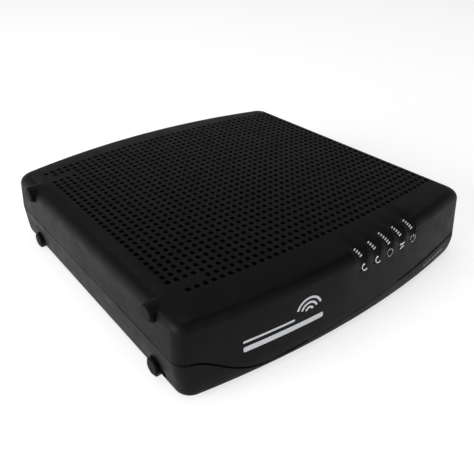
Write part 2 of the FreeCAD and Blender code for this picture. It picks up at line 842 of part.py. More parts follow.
# ---------------------------------------------------------------- coax connector

# The thread stands at its root radius under the panel nut and at its outer radius where it is free.
turned("coax_barrel", [("3.3", "0"), ("6.4", "0"), ("6.4", "1.6"), ("coax_radius - 0.4", "1.6"),
                       ("coax_radius - 0.4", "8.4"), ("coax_radius", "8.4"), ("coax_radius", "14.6"),
                       ("coax_radius - 0.5", "15.2"), ("3.3", "15.2")],
       ("coax_across", "panel_inner - 3", "coax_height"), along="y")
turned("coax_insulator", [("0.8", "0"), ("3.3", "0"), ("3.3", "14.6"), ("0.8", "14.6")],
       ("coax_across", "panel_inner - 3", "coax_height"), along="y")
turned("coax_contact", [("0", "0"), ("0.8", "0"), ("0.8", "14.2"), ("0.45", "14.2"), ("0.45", "4"),
                        ("0", "4")],
       ("coax_across", "panel_inner - 3", "coax_height"), along="y")


def hexagon(sketch):
    """Nut outline with a round hole, six flats across twice the given half width."""
    corner = 6.3 / math.cos(math.pi / 6)
    corners = [(corner * math.cos(math.pi * n / 3), corner * math.sin(math.pi * n / 3)) for n in range(6)]
    draw_polygon(sketch, "flat", [("%.4f" % across, "%.4f" % up) for across, up in corners])
    draw_circle(sketch, "hole", "0", "0", "coax_radius - 0.4")


slab("coax_nut", hexagon, "2.6", ("coax_across", "panel_inner + panel_thickness + 2.6", "coax_height"),
     role="XZ_Plane")

# ---------------------------------------------------------------- telephone and network sockets


def modular_jack(node, across, width, cavity):
    """Socket block with a stepped cavity: a wide part for the plug and a narrow run for its latch."""
    body = doc.addObject("PartDesign::Body", node)
    edge = new_sketch(body, "XZ_Plane", node + "_edge")
    draw_box(edge, "edge", "0 - %s / 2" % width, "0", "%s / 2" % width, "jack_height")
    pad(body, edge, node + "_block", "17")
    mouth = new_sketch(body, "XZ_Plane", node + "_mouth")
    steps = [(cavity, "11.6"), (cavity, "4.6"), ("3.1", "4.6"), ("3.1", "2.9"), ("1.7", "2.9"),
             ("1.7", "1.4")]
    mirrored = [("0 - %s" % half, up) for half, up in reversed(steps)]
    draw_polygon(mouth, "mouth", steps + mirrored)
    pocket(body, mouth, node + "_cavity", "13.5", reverse=True)
    place(body, (across, JACK_FACE, BOARD_TOP))
    return body


def contact_wires(node, across, count):
    """Sprung contact wires that hang from the roof of a socket and slope back to its rear."""
    pitch = 1.02
    wires = []
    for number in range(count):
        body = doc.addObject("PartDesign::Body", "%s_wire_%d" % (node, number + 1))
        sketch = new_sketch(body, "YZ_Plane", "%s_wire_%d_side" % (node, number + 1))
        draw_polygon(sketch, "side", [("-2", "11.6"), ("-2.8", "11.6"), ("-11.6", "9.5"), ("-11.5", "9.1"),
                                      ("-2", "11.2")])
        pad(body, sketch, "%s_wire_%d_pad" % (node, number + 1), "0.5")
        offset = (number - (count - 1) / 2) * pitch - 0.25
        place(body, ("%s + %.3f" % (across, offset), JACK_FACE, BOARD_TOP))
        wires.append(body)
    return group(node, wires)


for name, jack in MODULAR_JACKS.items():
    modular_jack(name + "_jack", jack["across"], jack["width"], jack["cavity"])
    contact_wires(name + "_contacts", jack["across"], jack["wires"])

# ---------------------------------------------------------------- square data socket


def usb_shell():
    body = doc.addObject("PartDesign::Body", "usb_shell")
    edge = new_sketch(body, "XZ_Plane", "usb_edge")
    draw_box(edge, "edge", "-6", "0", "6", "10.8")
    pad(body, edge, "usb_block", "16")
    mouth = new_sketch(body, "XZ_Plane", "usb_mouth")
    draw_polygon(mouth, "mouth", [("-4.25", "1.5"), ("4.25", "1.5"), ("4.25", "7.6"), ("2.7", "9.3"),
                                  ("-2.7", "9.3"), ("-4.25", "7.6")])
    pocket(body, mouth, "usb_cavity", "11", reverse=True)
    place(body, ("usb_across", JACK_FACE, BOARD_TOP))


usb_shell()
box("usb_tongue", ("5.6", "9.4", "3"), ("usb_across - 2.8", JACK_FACE + " - 11", BOARD_TOP + " + 3.9"))

# ---------------------------------------------------------------- power socket

POWER_HOUSING_DEPTH = "13"
power_block = box("power_block", ("9", POWER_HOUSING_DEPTH, "11.5"),
                  ("power_across - 4.5", "panel_inner - " + POWER_HOUSING_DEPTH, BOARD_TOP))
power_nose = cylinder("power_nose", "4.3", "panel_thickness + jack_proud + 0.5",
                      ("power_across", "panel_inner - 0.5", "power_bore_height"), along="y")
power_bore = cylinder("power_bore", "power_bore_radius", "20",
                      ("power_across", JACK_FACE + " - 10", "power_bore_height"), along="y")
cut("power_jack", fuse("power_solid", [power_block, power_nose]), power_bore)
turned("power_pin", [("0", "0"), ("1", "0"), ("1", "8.4"), ("0.7", "8.9"), ("0", "8.9")],
       ("power_across", JACK_FACE + " - 10", "power_bore_height"), along="y")

# ---------------------------------------------------------------- reset switch

switch_block = box("switch_block", ("7", "5.4", "8.2"),
                   ("reset_across - 3.5", "panel_inner - 9", BOARD_TOP))
switch_bore = cylinder("switch_bore", "1.4", "20",
                       ("reset_across", "panel_inner - 7", "reset_height"), along="y")
cut("reset_switch", switch_block, switch_bore)
turned("reset_button", [("0", "0"), ("1.1", "0"), ("1.1", "3.4"), ("reset_radius", "3.4"),
                        ("reset_radius", "7.9"), ("reset_radius - 0.3", "8.2"), ("0", "8.2")],
       ("reset_across", "panel_inner - 6.4", "reset_height"), along="y")

# ---------------------------------------------------------------- light guide

GUIDE_BACK = LED_ALONG + " + 1.4"
guide_legs = []
for number in range(INDICATORS):
    across = "indicator_first + %d * indicator_pitch" % number
    guide_legs.append(box("guide_leg_%d" % (number + 1), ("2.8", "2.8", "lens_height - board_low - 3.9"),
                          (across + " - 1.4", LED_ALONG + " - 1.4", "board_low + 3.9")))
    guide_legs.append(box("guide_arm_%d" % (number + 1), ("2.8", "18", "2.8"),
                          (across + " - 1.4", LED_ALONG + " - 16.6", "lens_height - 1.4")))
    guide_legs.append(cylinder("guide_lens_%d" % (number + 1), "lens_radius", "20",
                               (across, "0 - body_depth / 2 - 5", "lens_height"), along="y"))
guide_bar = box("guide_bar", ("4 * indicator_pitch + 4.8", "2", "2.8"),
                ("indicator_first - 2.4", LED_ALONG + " - 8", "lens_height - 1.4"))
guide_form = fuse("guide_form", guide_legs + [guide_bar])
guide_skin = size("lens_window") + 0.15
guide_limit = shape_feature("guide_limit", casing_form(guide_skin, 0.0, size("wall") + 0.4))
common("light_guide", [guide_form, guide_limit])

# ---------------------------------------------------------------- the nodes

NODES = (
    ["top_cover", "bottom_case", "rear_panel", "light_guide", "main_board", "main_chip", "main_heatsink",
     "memory_chip", "program_chip", "clock_crystal", "line_chip_one", "line_chip_two", "ring_transformer",
     "power_coil", "ethernet_transformer", "tuner_frame", "tuner_lid", "tuner_chip", "coax_barrel",
     "coax_insulator", "coax_contact", "coax_nut", "usb_shell", "usb_tongue", "power_jack", "power_pin",
     "reset_switch", "reset_button", "blank_label", "case_screws", "board_screws"]
    + ["side_foot_" + name for name in SIDE_FEET]
    + ["bottom_foot_" + name for name in FEET]
    + [name + suffix for name in MODULAR_JACKS for suffix in ("_jack", "_contacts")]
    + ["capacitor_" + name for name in CAPACITORS]
    + LEDS
)

doc.recompute()
for item in doc.Objects:
    if "Invalid" in item.State or "Error" in item.State:
        raise RuntimeError("%s did not build: %s" % (item.Name, item.State))

pieces = [doc.getObject(name) for name in NODES]
for name, piece in zip(NODES, pieces):
    if piece is None or piece.Shape.isNull() or not piece.Shape.isValid():
        raise RuntimeError("%s has no valid shape" % name)
    piece.Label = name

os.makedirs("parts", exist_ok=True)
for piece in pieces:
    piece.Shape.exportStep("parts/%s.step" % piece.Label)
    bounds = piece.Shape.optimalBoundingBox(False)
    print("%-26s %2d solid(s) %9.1f mm3  x %6.1f %6.1f  y %6.1f %6.1f  z %5.1f %5.1f" % (
        piece.Label, len(piece.Shape.Solids), piece.Shape.Volume, bounds.XMin, bounds.XMax,
        bounds.YMin, bounds.YMax, bounds.ZMin, bounds.ZMax))
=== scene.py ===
"""Looks of the cable modem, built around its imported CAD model.

Metres, in the CAD frame: X to the right, Y to the back, Z up, and the floor at Z = 0.
"""
import json
import math

import bmesh
import bpy
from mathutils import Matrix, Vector
from mathutils.bvhtree import BVHTree


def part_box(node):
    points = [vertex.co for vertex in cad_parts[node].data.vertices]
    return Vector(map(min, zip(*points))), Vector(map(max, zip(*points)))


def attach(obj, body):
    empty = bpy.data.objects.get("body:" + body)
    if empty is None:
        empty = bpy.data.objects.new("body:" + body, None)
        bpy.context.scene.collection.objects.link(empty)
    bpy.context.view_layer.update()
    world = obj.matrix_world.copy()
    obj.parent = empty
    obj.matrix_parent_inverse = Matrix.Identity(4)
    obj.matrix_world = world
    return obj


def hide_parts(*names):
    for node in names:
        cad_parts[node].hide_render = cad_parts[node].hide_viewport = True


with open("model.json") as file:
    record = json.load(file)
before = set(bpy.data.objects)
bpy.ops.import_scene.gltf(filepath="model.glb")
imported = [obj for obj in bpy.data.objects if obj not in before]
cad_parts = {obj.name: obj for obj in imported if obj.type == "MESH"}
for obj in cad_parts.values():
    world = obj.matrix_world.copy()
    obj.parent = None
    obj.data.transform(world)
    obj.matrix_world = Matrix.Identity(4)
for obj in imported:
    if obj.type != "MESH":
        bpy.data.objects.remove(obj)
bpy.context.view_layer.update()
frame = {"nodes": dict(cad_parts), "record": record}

MM = 0.001
NODES = frame["nodes"]
SLOT_OF_NODE = {part["node"]: part["material_slot"] for part in frame["record"]["subparts"]}

# ---------------------------------------------------------------- materials


class Finish:
    """A procedural material: a principled shader whose colour, roughness and bump come from noise."""

    def __init__(self, name, roughness, **constants):
        self.material = bpy.data.materials.new(name)
        self.material.use_nodes = True
        self.tree = self.material.node_tree
        self.shader = self.tree.nodes["Principled BSDF"]
        self.shader.inputs["Roughness"].default_value = roughness
        for socket, value in constants.items():
            self.shader.inputs[socket.replace("_", " ")].default_value = value
        self.place = self.node("ShaderNodeTexCoord").outputs["Object"]
        self.last_bump = None

    def node(self, kind, **settings):
        made = self.tree.nodes.new(kind)
        for key, value in settings.items():
            setattr(made, key, value)
        return made

    def link(self, source, target):
        self.tree.links.new(source, target)

    def noise(self, size_mm, detail=2.0, stretch=(1, 1, 1)):
        """Noise whose features have about the given size."""
        texture = self.node("ShaderNodeTexNoise")
        texture.inputs["Scale"].default_value = 1 / (size_mm * MM)
        texture.inputs["Detail"].default_value = detail
        if stretch == (1, 1, 1):
            self.link(self.place, texture.inputs["Vector"])
        else:
            mapping = self.node("ShaderNodeMapping")
            mapping.inputs["Scale"].default_value = stretch
            self.link(self.place, mapping.inputs["Vector"])
            self.link(mapping.outputs["Vector"], texture.inputs["Vector"])
        return texture.outputs["Fac"]

    def ramp(self, factor, stops):
        """Colours blended over a factor: stops are (place, colour)."""
        ramp = self.node("ShaderNodeValToRGB")
        elements = ramp.color_ramp.elements
        while len(elements) < len(stops):
            elements.new(0.5)
        for element, (place, colour) in zip(elements, stops):
            element.position = place
            element.color = (*colour, 1)
        self.link(factor, ramp.inputs["Fac"])
        return ramp.outputs["Color"]

    def colour(self, factor, dark, light, low=0.35, high=0.65):
        self.link(self.ramp(factor, [(low, dark), (high, light)]), self.shader.inputs["Base Color"])
        return self

    def vary_roughness(self, factor, low, high):
        spread = self.node("ShaderNodeMapRange")
        spread.inputs["From Min"].default_value = 0.3
        spread.inputs["From Max"].default_value = 0.7
        spread.inputs["To Min"].default_value = low
        spread.inputs["To Max"].default_value = high
        self.link(factor, spread.inputs["Value"])
        self.link(spread.outputs["Result"], self.shader.inputs["Roughness"])
        return self

    def bump(self, height, depth_mm, strength=1.0):
        """Adds relief on top of any bump that is already there."""
        bump = self.node("ShaderNodeBump")
        bump.inputs["Distance"].default_value = depth_mm * MM
        bump.inputs["Strength"].default_value = strength
        self.link(height, bump.inputs["Height"])
        if self.last_bump is not None:
            self.link(self.last_bump.outputs["Normal"], bump.inputs["Normal"])
        self.link(bump.outputs["Normal"], self.shader.inputs["Normal"])
        self.last_bump = bump
        return self


def grey(value):
    return (value, value, value * 1.03)


def moulded_plastic(name, dark, light, roughness, specular, grain_mm=0.35, grain_depth_mm=0.03):
    """Moulded plastic with a spark-eroded grain and a faint unevenness from handling."""
    finish = Finish(name, roughness, Specular_IOR_Level=specular)
    finish.colour(finish.noise(14, 4), dark, light)
    finish.vary_roughness(finish.noise(9, 5), roughness - 0.05, roughness + 0.06)
    finish.bump(finish.noise(grain_mm, 3), grain_depth_mm, 0.5)
    finish.bump(finish.noise(26, 2), 0.12, 0.25)
    return finish.material


def metal(name, dark, light, roughness, stretch=(1, 1, 1), grain_mm=0.25):
    """Plated or rolled metal with fine directional marks and a few stains."""
    finish = Finish(name, roughness, Metallic=1.0)
    finish.colour(finish.noise(3, 5), dark, light)
    marks = finish.noise(grain_mm, 3, stretch)
    finish.vary_roughness(marks, roughness - 0.07, roughness + 0.1)
    finish.bump(marks, 0.01, 0.4)
    return finish.material


def board_laminate():
    """Green lacquer over a net of tracks, with tinned pads."""
    finish = Finish("board_laminate", 0.35, Specular_IOR_Level=0.5, Coat_Weight=0.3, Coat_Roughness=0.2)
    tracks = finish.node("ShaderNodeTexBrick")
    tracks.inputs["Scale"].default_value = 1 / (2.4 * MM)
    tracks.inputs["Mortar Size"].default_value = 0.09
    tracks.inputs["Mortar Smooth"].default_value = 0.2
    tracks.inputs["Color1"].default_value = (0.012, 0.085, 0.03, 1)
    tracks.inputs["Color2"].default_value = (0.016, 0.1, 0.036, 1)
    tracks.inputs["Mortar"].default_value = (0.04, 0.19, 0.07, 1)
    finish.link(finish.place, tracks.inputs["Vector"])
    finish.link(tracks.outputs["Color"], finish.shader.inputs["Base Color"])
    finish.bump(tracks.outputs["Fac"], 0.03, 0.5)
    return finish.material


def chip_plastic():
    finish = Finish("chip_plastic", 0.55, Specular_IOR_Level=0.4)
    finish.colour(finish.noise(0.4, 3), grey(0.018), grey(0.032))
    return finish.bump(finish.noise(0.12, 2), 0.02, 0.5).material


def transformer_tape():
    finish = Finish("transformer_tape", 0.35, Specular_IOR_Level=0.5)
    finish.colour(finish.noise(2, 3, (1, 1, 4)), (0.5, 0.36, 0.03), (0.68, 0.5, 0.06))
    return finish.bump(finish.noise(1.2, 3, (1, 1, 6)), 0.08, 0.4).material


def printed_film():
    """Matt label film with a faint fibre."""
    finish = Finish("label_film", 0.4, Specular_IOR_Level=0.45)
    finish.colour(finish.noise(1.5, 6), (0.6, 0.6, 0.59), (0.68, 0.68, 0.66))
    return finish.bump(finish.noise(0.2, 3), 0.015, 0.4).material


def foot_rubber():
    """Soft rubber, paler where dust sits in its grain."""
    finish = Finish("foot_rubber", 0.7, Specular_IOR_Level=0.12)
    finish.colour(finish.noise(0.6, 5), grey(0.0016), grey(0.0040))
    return finish.bump(finish.noise(0.3, 3), 0.06, 0.7).material


def groove_shadow():
    """Painted shade: a near-black matt finish that stands in for the shadow down in the narrow gap between
    cover and base.
    """
    finish = Finish("groove_shadow", 0.9, Specular_IOR_Level=0.02)
    # Near-black colour of the painted shade in the gap between cover and base.
    finish.colour(finish.noise(1.0, 3), grey(0.0006), grey(0.0012))
    return finish.bump(finish.noise(0.4, 2), 0.02, 0.4).material


def capacitor_sleeve():
    finish = Finish("capacitor_sleeve", 0.3, Specular_IOR_Level=0.5)
    finish.colour(finish.noise(2.5, 2, (1, 1, 0.1)), (0.008, 0.014, 0.06), (0.012, 0.02, 0.085))
    return finish.bump(finish.noise(1.5, 2), 0.02, 0.3).material


def white_ink():
    """Screen-printed ink that thins a little towards its edges."""
    finish = Finish("white_ink", 0.5, Specular_IOR_Level=0.4)
    finish.colour(finish.noise(0.5, 4), (0.62, 0.63, 0.64), (0.8, 0.8, 0.8))
    return finish.bump(finish.noise(0.15, 2), 0.01, 0.4).material


def silver_ink():
    """Metallic silver print with fine flake."""
    finish = Finish("silver_ink", 0.38, Metallic=0.85)
    finish.colour(finish.noise(0.3, 4), (0.42, 0.43, 0.45), (0.62, 0.63, 0.65))
    return finish.bump(finish.noise(0.1, 2), 0.008, 0.5).material


def grey_ink():
    finish = Finish("grey_ink", 0.5, Specular_IOR_Level=0.4)
    finish.colour(finish.noise(0.5, 4), grey(0.12), grey(0.17))
    return finish.bump(finish.noise(0.15, 2), 0.01, 0.4).material


def make_materials():
    return {
        "casing_plastic": moulded_plastic("casing_plastic", grey(0.0022), grey(0.0032), 0.48, 0.09),
        "lens_plastic": moulded_plastic("lens_plastic", grey(0.35), grey(0.42), 0.2, 0.5, 1.5, 0.01),
        "board_laminate": board_laminate(),
        "chip_plastic": chip_plastic(),
        "heatsink_metal": metal("heatsink_metal", grey(0.05), grey(0.08), 0.42, (1, 0.05, 1)),
        "can_metal": metal("can_metal", grey(0.45), grey(0.6), 0.3, (0.05, 1, 1)),
        "transformer_tape": transformer_tape(),
        "connector_metal": metal("connector_metal", grey(0.5), grey(0.66), 0.24, (1, 0.2, 1)),
        "insulator_plastic": moulded_plastic("insulator_plastic", grey(0.55), grey(0.66), 0.35, 0.5, 0.5,
                                             0.01),
        "contact_metal": metal("contact_metal", (0.62, 0.4, 0.12), (0.8, 0.56, 0.2), 0.25, (1, 0.1, 1)),
        "jack_plastic": moulded_plastic("jack_plastic", grey(0.012), grey(0.02), 0.35, 0.45, 0.5, 0.015),
        "button_plastic": moulded_plastic("button_plastic", (0.16, 0.008, 0.008), (0.22, 0.012, 0.01), 0.3,
                                          0.5, 0.6, 0.01),
        "label_film": printed_film(),
        "screw_steel": metal("screw_steel", grey(0.3), grey(0.48), 0.3),
        "foot_rubber": foot_rubber(),
        # Painted shade for the dark line along the gap between cover and base.
        "groove_shadow": groove_shadow(),
        "capacitor_sleeve": capacitor_sleeve(),
        "led_body": moulded_plastic("led_body", (0.6, 0.62, 0.5), (0.7, 0.72, 0.6), 0.2, 0.5, 1.0, 0.01),
        "white_ink": white_ink(),
        "silver_ink": silver_ink(),
        "grey_ink": grey_ink(),
    }


MATERIALS = make_materials()

# ---------------------------------------------------------------- CAD nodes

SMOOTH_ANGLE = math.radians(28)


def smooth_by_angle(obj, angle=SMOOTH_ANGLE):
    """Rounds look round and edges stay crisp: equal points are welded and sharp edges split."""
    obj.data.polygons.foreach_set("use_smooth", [True] * len(obj.data.polygons))
    weld = obj.modifiers.new("weld", "WELD")
    weld.merge_threshold = 0.002 * MM
    split = obj.modifiers.new("edges", "EDGE_SPLIT")
    split.split_angle = angle


def dress_cad_nodes():
    for name, obj in NODES.items():
        obj.data.materials.clear()
        obj.data.materials.append(MATERIALS[SLOT_OF_NODE[name]])
        smooth_by_angle(obj)


# ---------------------------------------------------------------- pieces of mesh


def finish_piece(name, bm, material, body="casing"):
    """Turn a bmesh into a piece that rides on a body and has a material."""
    mesh = bpy.data.meshes.new(name)
    bm.normal_update()
    bm.to_mesh(mesh)
    bm.free()
    mesh.materials.append(MATERIALS[material])
    obj = bpy.data.objects.new(name, mesh)
    bpy.context.scene.collection.objects.link(obj)
    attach(obj, body)
    return obj


def turned(bm, profile, origin, axis, steps=48):
    """Turn an outline of (radius, distance along the axis) points about the axis."""
    turn = Vector((0, 0, 1)).rotation_difference(Vector(axis)).to_matrix()
    rings = []
    for radius, along in profile:
        if radius == 0:
            rings.append([bm.verts.new(Vector(origin) + turn @ Vector((0, 0, along)))])
            continue
        ring = []
        for step in range(steps):
            angle = 2 * math.pi * step / steps
            point = Vector((radius * math.cos(angle), radius * math.sin(angle), along))
            ring.append(bm.verts.new(Vector(origin) + turn @ point))
        rings.append(ring)
    for lower, upper in zip(rings, rings[1:]):
        for step in range(steps):
            after = (step + 1) % steps
            corners = [lower[step % len(lower)], lower[after % len(lower)],
                       upper[after % len(upper)], upper[step % len(upper)]]
            face = list(dict.fromkeys(corners))
            if len(face) > 2:
                bm.faces.new(face)


# ---------------------------------------------------------------- print on the casing

INK_HEIGHT = 0.03 * MM
INK_STEP = 0.2 * MM
PROBE_START = 40 * MM
PROBE_REACH = 80 * MM
ACROSS = (1, 0, 0)
LOOK_BACK = (0, 1, 0)
LOOK_BACK_AND_DOWN = (0, 1, -1)
LOOK_UP = (0, 0, 1)


def skin(node):
    """A CAD node's surface, ready for ray casts."""
    mesh = NODES[node].data
    corners = [vertex.co.copy() for vertex in mesh.vertices]
    faces = [tuple(polygon.vertices) for polygon in mesh.polygons]
    return BVHTree.FromPolygons(corners, faces)


class Surface:
    """The outside of a CAD node, seen along a direction, for print that lies on it."""

    def __init__(self, node, look, right):
        self.tree = skin(node)
        self.look = Vector(look).normalized()
        self.right = Vector(right).normalized()
        self.up = self.right.cross(self.look).normalized()

    def point(self, centre, across, up, lift):
        """The place on the surface under a point of the print's own plane."""
        start = centre + self.right * across + self.up * up - self.look * PROBE_START
        hit, normal, _, _ = self.tree.ray_cast(start, self.look, PROBE_REACH)
        if hit is None:
            raise RuntimeError("print misses the surface")
        if normal.dot(self.look) > 0:
            normal = -normal
        return hit + normal * lift


def strip(width, length, across=0.0, up=0.0, angle=0.0):
    """A bar of print with slightly narrowed ends, as rows of three points from one end to the other."""
    turn = math.radians(angle)
    count = max(3, int(length / INK_STEP))
    taper = width / 2 * 0.6
    rows = []
    for step in range(count + 1):
        along = (step / count - 0.5) * length
        half = width / 2
        to_end = length / 2 - abs(along)
        if to_end < taper:
            half *= 0.8 + 0.2 * to_end / taper
        row = []
        for side in (-1, 0, 1):
            x, y = along, side * half
            row.append((across + x * math.cos(turn) - y * math.sin(turn),
                        up + x * math.sin(turn) + y * math.cos(turn)))
        rows.append(row)
    return rows


def arc(radius, width, start, end, across=0.0, up=0.0):
    """A stroke of print along a circle, from one angle to another in degrees, as rows of three points."""
    sweep = math.radians(end - start)
    count = max(6, int(abs(sweep) * radius / INK_STEP))
    rows = []
    for step in range(count + 1):
        angle = math.radians(start) + sweep * step / count
        row = []
        for side in (-1, 0, 1):
            reach = radius + side * width / 2
            row.append((across + reach * math.cos(angle), up + reach * math.sin(angle)))
        rows.append(row)
    return rows


def printed(name, surface, centre, strokes, material="white_ink"):
    """A print of several strokes that follows the surface, just clear of it."""
    bm = bmesh.new()
    centre = Vector(centre)
    for stroke in strokes:
        rows = [[bm.verts.new(surface.point(centre, across, up, INK_HEIGHT)) for across, up in row]
                for row in stroke]
        for low, high in zip(rows, rows[1:]):
            for side in range(2):
                bm.faces.new([low[side], low[side + 1], high[side + 1], high[side]])
    bmesh.ops.recalc_face_normals(bm, faces=bm.faces)
    return finish_piece(name, bm, material)


SYMBOL_RADIUS = 1.85 * MM


def handset_icon():
    return [arc(1.7 * MM, 0.6 * MM, 125, 300, 0.6 * MM, 0.2 * MM),
            strip(0.9 * MM, 0.9 * MM, -0.1 * MM, 1.6 * MM, 30),
            strip(0.9 * MM, 0.9 * MM, 1.5 * MM, -1.3 * MM, 30)]


def ring_icon():
    return [arc(SYMBOL_RADIUS, 0.2 * MM, 0, 360)]


def arrows_icon():
    return [strip(0.8 * MM, 3.2 * MM, 0.2 * MM, 0.9 * MM, 10),
            strip(0.8 * MM, 3.2 * MM, -0.2 * MM, -0.9 * MM, 10)]


def power_icon():
    return [arc(SYMBOL_RADIUS, 0.22 * MM, 120, 420), strip(0.24 * MM, 1.6 * MM, 0, 1.4 * MM, 90)]


def network_icon():
    """One box over two, joined by lines."""
    places = ((0, 1.6 * MM), (-1.7 * MM, -1.4 * MM), (1.7 * MM, -1.4 * MM))
    boxes = [strip(1.1 * MM, 1.5 * MM, across, up) for across, up in places]
    lines = [strip(0.3 * MM, 3.6 * MM, 0, 0.1 * MM), strip(0.3 * MM, 1.4 * MM, 0, 0.6 * MM, 90)]
    return boxes + lines


def direct_current_icon():
    """A long dash over three short ones."""
    short = [strip(0.5 * MM, 1.0 * MM, across * MM, -0.7 * MM) for across in (-1.5, 0, 1.5)]
    return [strip(0.5 * MM, 4.0 * MM, 0, 0.5 * MM)] + short


LED_NAMES = ["led_%d" % number for number in range(1, 6)]
ICONS = [handset_icon, handset_icon, ring_icon, arrows_icon, power_icon]
ICON_HEIGHT = 30.2 * MM
ICON_SHIFT = -1.1 * MM
CAPTION_DASHES = [4, 4, 6, 5, 5]
CAPTION_SHIFT = -2.45 * MM
CAPTION_RISE = 1.0 * MM
CAPTION_ANGLE = -70
CAPTION_PITCH = 1.3 * MM
CAPTION_HEIGHT = 1.9 * MM
CAPTION_STROKE = 0.6 * MM


def middle(node):
    """Centre of a CAD node's box."""
    low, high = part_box(node)
    return (low + high) / 2


def print_indicators():
    """A symbol on the front beside each flute, and a caption of plain dashes down each flute."""
    front = Surface("top_cover", LOOK_BACK, ACROSS)
    roll = Surface("top_cover", LOOK_BACK_AND_DOWN, ACROSS)
    low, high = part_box("top_cover")
    turn = math.radians(CAPTION_ANGLE)
    for number, (led, icon, dashes) in enumerate(zip(LED_NAMES, ICONS, CAPTION_DASHES), start=1):
        across = middle(led).x
        printed("icon_%d" % number, front, (across + ICON_SHIFT, low.y, ICON_HEIGHT), icon())
        face = front.point(Vector((across, low.y, ICON_HEIGHT)), 0, 0, 0)
        marks = []
        for place in range(dashes):
            along = (place - (dashes - 1) / 2) * CAPTION_PITCH
            marks.append(strip(CAPTION_HEIGHT, CAPTION_STROKE, along * math.cos(turn),
                               CAPTION_RISE + along * math.sin(turn), CAPTION_ANGLE))
        printed("caption_%d" % number, roll, (across + CAPTION_SHIFT, face.y, high.z), marks)


GROOVE_STEPS = 720
# Half the width of the painted shadow strip, which is wider than the real gap.
PAINTED_SHADOW_HALF = 0.55 * MM
GROOVE_PROBE = PAINTED_SHADOW_HALF * 1.5
GROOVE_REAR = 78 * MM
GROOVE_LOWEST = 3 * MM
GROOVE_HIGHEST = 34 * MM
GROOVE_HALVINGS = 12
OUTSIDE_START = 300 * MM
OUTSIDE_REACH = 200 * MM


def outside_hit(tree, away, height):
    """Where a level ray from outside towards the middle of the plan meets a skin, and how far that is."""
    start = away * OUTSIDE_START + Vector((0, 0, height))
    hit, _, _, distance = tree.ray_cast(start, -away, OUTSIDE_REACH)
    return (hit, distance) if hit else (None, math.inf)


def parting_height(cover, base, away):
    """Height at which the outside changes from the base to the cover."""
    low, high = GROOVE_LOWEST, GROOVE_HIGHEST
    for _ in range(GROOVE_HALVINGS):
        level = (low + high) / 2
        if outside_hit(cover, away, level)[1] < outside_hit(base, away, level)[1]:
            high = level
        else:
            low = level
    return (low + high) / 2


def make_parting_painted_shadow():
    """A painted shadow along the front and both sides: a dark strip laid just proud of the casing over the
    gap between cover and base, wider than the gap itself.
    """
    cover = skin("top_cover")
    base = skin("bottom_case")
    bm = bmesh.new()
    last = None
    for step in range(GROOVE_STEPS + 1):
        angle = 2 * math.pi * step / GROOVE_STEPS
        away = Vector((math.cos(angle), math.sin(angle), 0))
        height = parting_height(cover, base, away)
        upper = outside_hit(cover, away, height + GROOVE_PROBE)[0]
        lower = outside_hit(base, away, height - GROOVE_PROBE)[0]
        if upper is None or lower is None or max(upper.y, lower.y) > GROOVE_REAR:
            last = None
            continue
        centre = (upper + lower) / 2
        slope = (upper - lower).normalized()
        # Each pair of points edges the painted shadow strip, just proud of the casing over the gap.
        pair = [bm.verts.new(centre + slope * side * PAINTED_SHADOW_HALF + away * INK_HEIGHT) for side in (-1, 1)]
        if last:
            bm.faces.new([last[0], pair[0], pair[1], last[1]])
        last = pair
    bmesh.ops.recalc_face_normals(bm, faces=bm.faces)
    return finish_piece("parting_painted_shadow", bm, "groove_shadow")


MARK_ACROSS = -44 * MM
MARK_HEIGHT = 22 * MM
SMALL_DASHES = 7
SMALL_DASHES_ACROSS = 66 * MM
SMALL_DASHES_HEIGHT = 7.6 * MM
SMALL_DASH_PITCH = 2.9 * MM
SMALL_DASH_RISE = 0.2 * MM
REAR_SYMBOL_RISE = 4.2 * MM


def print_mark():
    """A plain silver mark: two bars, and three arcs over them."""
    front = Surface("top_cover", LOOK_BACK, ACROSS)
    bars = [strip(2.6 * MM, 42 * MM, 0, -5.2 * MM), strip(1.1 * MM, 26 * MM, -8 * MM, -1.4 * MM)]
    arcs = [arc(radius * MM, 1.1 * MM, 20, 160, 13 * MM) for radius in (2.0, 4.4, 6.8)]
    centre = (MARK_ACROSS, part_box("top_cover")[0].y, MARK_HEIGHT)
    printed("front_mark", front, centre, bars + arcs, "silver_ink")


def print_small_dashes():
    """Faint plain dashes low on the right of the front."""
    front = Surface("bottom_case", LOOK_BACK, ACROSS)
    strokes = []
    for number in range(SMALL_DASHES):
        place = number - (SMALL_DASHES - 1) / 2
        strokes.append(strip(1.1 * MM, 2.2 * MM, place * SMALL_DASH_PITCH, place * SMALL_DASH_RISE))
    centre = (SMALL_DASHES_ACROSS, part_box("bottom_case")[0].y, SMALL_DASHES_HEIGHT)
    printed("small_dashes", front, centre, strokes, "grey_ink")


def print_rear_symbols():
    """A symbol over each socket on the rear panel."""
    rear = Surface("rear_panel", (0, -1, 0), (-1, 0, 0))
    symbols = {
        "phone_one_jack": handset_icon,
        "phone_two_jack": handset_icon,
        "ethernet_jack": network_icon,
        "power_jack": direct_current_icon,
        "coax_barrel": ring_icon,
        "usb_shell": arrows_icon,
    }
    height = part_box("ethernet_jack")[1].z + REAR_SYMBOL_RISE
    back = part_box("rear_panel")[1].y
    for node, icon in symbols.items():
        printed("symbol_" + node, rear, (middle(node).x, back, height), icon())


def print_label():
    """Plain grey blocks on the label under the modem, in place of a rating plate's text."""
    under = Surface("blank_label", LOOK_UP, ACROSS)
    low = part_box("blank_label")[0]
    centre = middle("blank_label")
    strokes = [strip(1.0 * MM, 40 * MM, -12 * MM, up * MM) for up in (12, 9, 6)]
    strokes += [strip(0.8 * MM, 28 * MM, -18 * MM, up * MM) for up in (1, -2, -5, -8, -11)]
    strokes += [strip(6 * MM, 0.5 * MM, across * 0.9 * MM, -8 * MM) for across in range(6, 36)]
    printed("label_blocks", under, (centre.x, centre.y, low.z), strokes, "grey_ink")


# ---------------------------------------------------------------- turned and threaded metal


